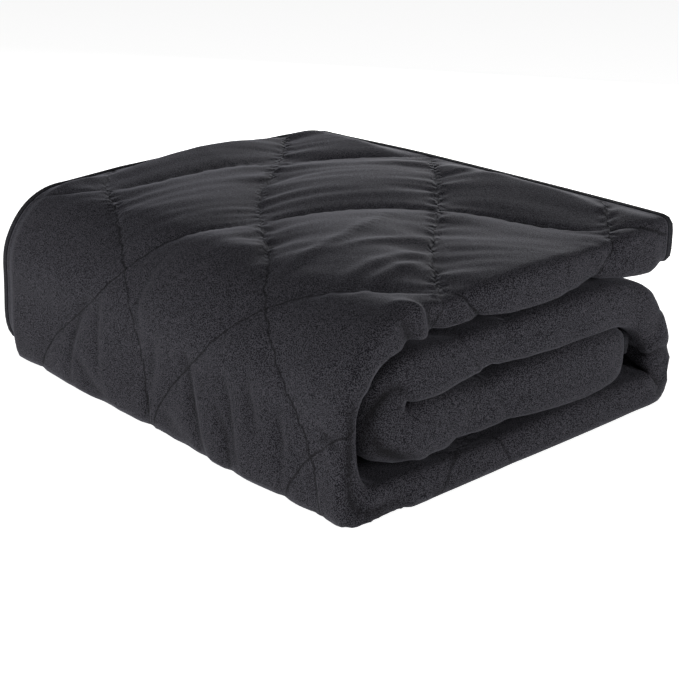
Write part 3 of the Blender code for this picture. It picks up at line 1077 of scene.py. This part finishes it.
def fibre_group():
    """A node group for brushed cloth of mixed fibres.

    It takes a place in metres and puts out a fibre mask and a height. The mask is fine speckle plus
    broader patches and a middling nap, about a middle of its own. The height is the nap alone.
    """
    tree = bpy.data.node_groups.new("Brushed Weave", "ShaderNodeTree")
    face = tree.interface
    face.new_socket("Place", in_out="INPUT", socket_type="NodeSocketVector")
    for name in ("Speckle", "Patches"):
        face.new_socket(name, in_out="INPUT", socket_type="NodeSocketFloat").default_value = 1.0
    face.new_socket("Fibres", in_out="OUTPUT", socket_type="NodeSocketFloat")
    face.new_socket("Height", in_out="OUTPUT", socket_type="NodeSocketFloat")
    given = add_node(tree, "NodeGroupInput", (-900, 0))
    put = add_node(tree, "NodeGroupOutput", (700, 0))
    layers = []
    for row, (name, scale, detail, spread) in enumerate(FIBRE_LAYERS):
        level = 300 - 260 * row
        noise = add_node(tree, "ShaderNodeTexNoise", (-650, level))
        sockets_set(noise, Scale=scale, Detail=detail, Roughness=0.6)
        tree.links.new(given.outputs["Place"], noise.inputs["Vector"])
        layer = worked(tree, "MULTIPLY_ADD", (-450, level), noise.outputs["Fac"], spread, -spread / 2)
        if name:
            layer = worked(tree, "MULTIPLY", (-270, level), layer, given.outputs[name])
        layers.append(layer)
    both = worked(tree, "ADD", (-50, 200), layers[0], layers[1])
    every = worked(tree, "ADD", (150, 200), both, layers[2])
    mask = worked(tree, "ADD", (350, 200), every, FIBRE_MIDDLE, clamped=True)
    tree.links.new(mask, put.inputs["Fibres"])
    tree.links.new(layers[2], put.inputs["Height"])
    return tree


def stitched_row_group():
    """A node group for the cloth beside one direction of stitching.

    It takes how many rows lie across to a point and along them. Distance to the row is the pingpong of
    the first. Line is 1 on the row and falls off over a millimetre or two. Notches is a wave along the
    row, half a turn later on its other side, that dies away over a centimetre.
    """
    tree = bpy.data.node_groups.new("Stitched Row", "ShaderNodeTree")
    face = tree.interface
    for name in ("Across", "Along"):
        face.new_socket(name, in_out="INPUT", socket_type="NodeSocketFloat")
    for name in ("Line", "Notches"):
        face.new_socket(name, in_out="OUTPUT", socket_type="NodeSocketFloat")
    given = add_node(tree, "NodeGroupInput", (-900, 0))
    put = add_node(tree, "NodeGroupOutput", (900, 0))

    def faded(source, start, end, place):
        node = add_node(tree, "ShaderNodeMapRange", place, interpolation_type="SMOOTHSTEP")
        sockets_set(node, From_Min=start, From_Max=end, To_Min=1.0, To_Max=0.0)
        tree.links.new(source, node.inputs["Value"])
        return node.outputs["Result"]

    def noise_at(spot, scale, detail, place):
        node = add_node(tree, "ShaderNodeTexNoise", place)
        sockets_set(node, Scale=scale, Detail=detail)
        tree.links.new(spot, node.inputs["Vector"])
        return node.outputs["Fac"]

    across, along = given.outputs["Across"], given.outputs["Along"]
    distance = worked(tree, "PINGPONG", (-600, 300), across, 0.5)
    metres = worked(tree, "MULTIPLY", (-420, 300), distance, SEAM_PITCH)
    tree.links.new(faded(metres, *LINE_FADE, (-100, 300)), put.inputs["Line"])
    turn = worked(tree, "MULTIPLY", (-600, -50), across, math.tau)
    side = worked(tree, "SIGN", (-240, -50), worked(tree, "SINE", (-420, -50), turn))
    spot = add_node(tree, "ShaderNodeCombineXYZ", (-900, -400))
    tree.links.new(along, spot.inputs["X"])
    tree.links.new(worked(tree, "MULTIPLY", (-1080, -400), across, 3.0), spot.inputs["Y"])
    drift = noise_at(spot.outputs["Vector"], 6.0, 2.0, (-720, -400))
    shift = worked(tree, "MULTIPLY", (-540, -400), drift, NOTCH_DRIFT)
    angle = worked(tree, "MULTIPLY_ADD", (-360, -300), along, math.tau * NOTCH_TURNS, shift)
    turned = worked(tree, "MULTIPLY_ADD", (-60, -150), side, math.pi / 2, angle)
    wave = worked(tree, "SINE", (120, -150), turned)
    unevenness = noise_at(spot.outputs["Vector"], 4.3, 1.0, (-720, -650))
    strength = add_node(tree, "ShaderNodeMapRange", (-360, -600))
    sockets_set(strength, From_Min=0.35, From_Max=0.65, To_Min=0.1, To_Max=1.0)
    tree.links.new(unevenness, strength.inputs["Value"])
    close = faded(metres, *NOTCH_FADE, (-100, 80))
    near = worked(tree, "MULTIPLY", (240, 80), close, strength.outputs["Result"])
    notches = worked(tree, "MULTIPLY", (400, 0), wave, near)
    tree.links.new(notches, put.inputs["Notches"])
    return tree


def cloth_material(name, dark, light, group, speckle, patches, bump):
    """Brushed cloth: a Principled shader whose colour runs between two charcoals by the fibre mask."""
    material = bpy.data.materials.new(name)
    material.use_nodes = True
    tree = material.node_tree
    shader = tree.nodes["Principled BSDF"]
    links = tree.links
    fibres = add_node(tree, "ShaderNodeGroup", (-760, 0), node_tree=group)
    fibres.inputs["Speckle"].default_value = speckle
    fibres.inputs["Patches"].default_value = patches
    place = add_node(tree, "ShaderNodeTexCoord", (-1000, 0)).outputs["Object"]
    links.new(place, fibres.inputs["Place"])
    colour = add_node(tree, "ShaderNodeMix", (-420, 150), data_type="RGBA")
    colour.inputs["A"].default_value = dark
    colour.inputs["B"].default_value = light
    links.new(fibres.outputs["Fibres"], colour.inputs["Factor"])
    bumped = add_node(tree, "ShaderNodeBump", (-420, -200))
    sockets_set(bumped, Strength=bump, Distance=0.0005)
    links.new(fibres.outputs["Height"], bumped.inputs["Height"])
    links.new(bumped.outputs["Normal"], shader.inputs["Normal"])
    return material, tree, shader, colour


def charcoal_cloth(colours, group):
    """The comforter's cloth, with painted shade along its rows of stitching and at the bottoms of its
    creases, and notches beside its stitching that are bumped and given painted light and shade.
    """
    material, tree, shader, colour = cloth_material(
        "charcoal_cloth", colours.cloth_dark, colours.cloth_light, group, speckle=1.0, patches=1.0, bump=0.5
    )
    links = tree.links
    row_group = bpy.data.node_groups.get("Stitched Row") or stitched_row_group()

    def named(name, place):
        return add_node(tree, "ShaderNodeAttribute", place, attribute_name=name).outputs["Fac"]

    phases = named("rising", (-1300, 700)), named("falling", (-1300, 500))
    # Painted shade at the bottoms of the creases' troughs.
    crease_shade_factor = worked(tree, "MULTIPLY_ADD", (-700, 950), named("trough", (-1300, 950)), -TROUGH_SHADE, 1.0)
    shaded = shaded_by(tree, (-400, 700), colour.outputs["Result"], crease_shade_factor)
    clear = worked(tree, "MULTIPLY_ADD", (-1100, 1150), named("faint", (-1300, 1150)), -FAINT_SHARE, 1.0)
    normal = shader.inputs["Normal"].links[0].from_socket
    for index, (line_shade, notch_shade, notch_bump) in enumerate(ROW_LOOKS):
        level = 700 - 250 * index
        row = add_node(tree, "ShaderNodeGroup", (-1100, level), node_tree=row_group)
        links.new(phases[index], row.inputs["Across"])
        links.new(phases[1 - index], row.inputs["Along"])
        # Painted shade along the row, fainter where the inner layers' half fold fills out, and painted
        # light and shade on its notches.
        drawn = worked(tree, "MULTIPLY", (-900, level), row.outputs["Line"], clear)
        line = worked(tree, "MULTIPLY_ADD", (-700, level), drawn, -line_shade, 1.0)
        both = worked(tree, "MULTIPLY_ADD", (-520, level), row.outputs["Notches"], notch_shade, line)
        shaded = shaded_by(tree, (-200, 400 - 200 * index), shaded, both)
        bumped = add_node(tree, "ShaderNodeBump", (-200, -300 - 200 * index))
        sockets_set(bumped, Strength=notch_bump, Distance=0.0020)
        links.new(row.outputs["Notches"], bumped.inputs["Height"])
        links.new(normal, bumped.inputs["Normal"])
        normal = bumped.outputs["Normal"]
    links.new(shaded, shader.inputs["Base Color"])
    links.new(normal, shader.inputs["Normal"])
    sockets_set(shader, Roughness=0.92, Sheen_Weight=0.10, Sheen_Roughness=0.38)
    shader.inputs["Sheen Tint"].default_value = (0.86, 0.86, 1.0, 1.0)
    shader.inputs["Specular IOR Level"].default_value = 0.12
    return material


def black_tape(colours, group):
    """The binding's smoother, darker tape."""
    light = tuple(TAPE_LIGHTER * value for value in colours.tape[:3]) + (1.0,)
    material, tree, shader, colour = cloth_material(
        "black_tape", colours.tape, light, group, speckle=0.45, patches=0.4, bump=0.2
    )
    tree.links.new(colour.outputs["Result"], shader.inputs["Base Color"])
    sockets_set(shader, Roughness=0.85)
    shader.inputs["Specular IOR Level"].default_value = 0.03
    return material


def glowing_floor(name, colour):
    """A pale floor lit a little from below, as a light table is."""
    material = bpy.data.materials.new(name)
    material.use_nodes = True
    shader = material.node_tree.nodes["Principled BSDF"]
    sockets_set(shader, Base_Color=colour, Roughness=0.9, Emission_Color=colour)
    shader.inputs["Emission Strength"].default_value = FLOOR_GLOW
    return material


def weave_group():
    """The brushed cloth's node group, made the first time that it is asked for."""
    return bpy.data.node_groups.get("Brushed Weave") or fibre_group()


# --- stage --------------------------------------------------------------------------------------

# The camera's place from the roll's near left corner, how far it looks down and round, and its lens.
CAMERA_FROM_CORNER = (-0.8787, -0.9696, 0.71)
CAMERA_ELEVATION = math.radians(21.67)
CAMERA_AZIMUTH = math.radians(-41.75)
CAMERA_LENS = 82.92
FLOOR_SIZE = 14.0

# The point that the lights face, in the middle of the roll.
LIGHT_AIM = (0.0, 0.0, 0.1)

LIGHTS = (
    # name, azimuth, elevation, distance, size, watts
    ("back", 122.0, 12.5, 1.6, 0.7, 19.0),
    ("left_front", -100.0, 16.0, 2.6, 1.6, 50.0),
    ("right_front", 16.0, 14.0, 2.6, 1.6, 38.0),
)
WORLD_STRENGTH = 0.11


def make_lights():
    """Round soft lights, each at its azimuth, elevation and distance from the aim and turned to face it."""
    for name, azimuth, elevation, distance, size, watts in LIGHTS:
        data = bpy.data.lights.new(name, "AREA")
        data.shape = "DISK"
        data.size = size
        data.energy = watts
        obj = bpy.data.objects.new(name, data)
        turn, rise = math.radians(azimuth), math.radians(elevation)
        level = distance * math.cos(rise)
        away = (level * math.sin(turn), -level * math.cos(turn), distance * math.sin(rise))
        obj.location = [middle + step for middle, step in zip(LIGHT_AIM, away)]
        obj.rotation_euler = (math.pi / 2 - rise, 0.0, turn)
        bpy.context.scene.collection.objects.link(obj)


def make_camera():
    """The scene's camera, placed from the roll's near left corner."""
    data = bpy.data.cameras.new("camera")
    data.sensor_width = 36.0
    data.lens = CAMERA_LENS
    data.clip_end = 60.0
    obj = bpy.data.objects.new("camera", data)
    obj.location = [corner + step for corner, step in zip(ROLL_CORNER, CAMERA_FROM_CORNER)]
    obj.rotation_euler = (math.pi / 2 - CAMERA_ELEVATION, 0.0, CAMERA_AZIMUTH)
    bpy.context.scene.collection.objects.link(obj)
    bpy.context.scene.camera = obj


def make_floor(colour):
    """A square floor under the comforter."""
    half = FLOOR_SIZE / 2
    corners = ((-half, -half, 0), (half, -half, 0), (half, half, 0), (-half, half, 0))
    mesh = bpy.data.meshes.new("floor")
    mesh.from_pydata(corners, [], [(0, 1, 2, 3)])
    mesh.materials.append(glowing_floor("pale_floor", colour))
    obj = bpy.data.objects.new("floor", mesh)
    bpy.context.scene.collection.objects.link(obj)


def make_world():
    """Even white light from all round, and colours shown as they are."""
    world = bpy.data.worlds.new("studio")
    world.use_nodes = True
    background = world.node_tree.nodes["Background"]
    background.inputs["Color"].default_value = (1.0, 1.0, 1.0, 1.0)
    background.inputs["Strength"].default_value = WORLD_STRENGTH
    bpy.context.scene.world = world
    bpy.context.scene.view_settings.view_transform = "Standard"


# --- operators ----------------------------------------------------------------------------------


class COMFORTER_OT_padded_cloth(bpy.types.Operator):
    """Make the padded, quilted cloth with its simulated gathers."""

    bl_idname = "comforter.padded_cloth"
    bl_label = "Padded Cloth"

    def execute(self, context):
        material = charcoal_cloth(context.scene.comforter_colours, weave_group())
        obj = make_padded_cloth(context.scene.comforter_sizes, material)
        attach(obj, "root")
        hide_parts("comforter")
        return {"FINISHED"}


class COMFORTER_OT_edge_binding(bpy.types.Operator):
    """Make the tape that binds the comforter's edge."""

    bl_idname = "comforter.edge_binding"
    bl_label = "Edge Binding"

    def execute(self, context):
        obj = make_binding(black_tape(context.scene.comforter_colours, weave_group()))
        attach(obj, "root")
        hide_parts("binding")
        return {"FINISHED"}


class COMFORTER_OT_stage(bpy.types.Operator):
    """Make the pale floor, the soft light and the camera."""

    bl_idname = "comforter.stage"
    bl_label = "Stage"

    def execute(self, context):
        make_world()
        make_floor(context.scene.comforter_colours.floor)
        make_lights()
        make_camera()
        return {"FINISHED"}


class COMFORTER_PT_panel(bpy.types.Panel):
    """Lists the comforter's sizes, colours and operators."""

    bl_label = "Comforter"
    bl_idname = "COMFORTER_PT_panel"
    bl_space_type = "VIEW_3D"
    bl_region_type = "UI"
    bl_category = "Comforter"

    def draw(self, context):
        layout = self.layout
        for group in (context.scene.comforter_sizes, context.scene.comforter_colours):
            column = layout.column(align=True)
            for name in group.__annotations__:
                column.prop(group, name)
        for operator in OPERATORS:
            layout.operator(operator.bl_idname)


OPERATORS = (COMFORTER_OT_padded_cloth, COMFORTER_OT_edge_binding, COMFORTER_OT_stage)
CLASSES = (ComforterSizes, ComforterColours) + OPERATORS + (COMFORTER_PT_panel,)


def register():
    """Adds the classes, and the two groups of settings to every scene."""
    for each in CLASSES:
        bpy.utils.register_class(each)
    bpy.types.Scene.comforter_sizes = PointerProperty(type=ComforterSizes)
    bpy.types.Scene.comforter_colours = PointerProperty(type=ComforterColours)


def unregister():
    """Takes away what register added."""
    del bpy.types.Scene.comforter_colours
    del bpy.types.Scene.comforter_sizes
    for each in reversed(CLASSES):
        bpy.utils.unregister_class(each)


def main():
    """Makes the comforter and its stage."""
    register()
    bpy.ops.comforter.padded_cloth()
    bpy.ops.comforter.edge_binding()
    bpy.ops.comforter.stage()


if __name__ == "__main__":
    main()
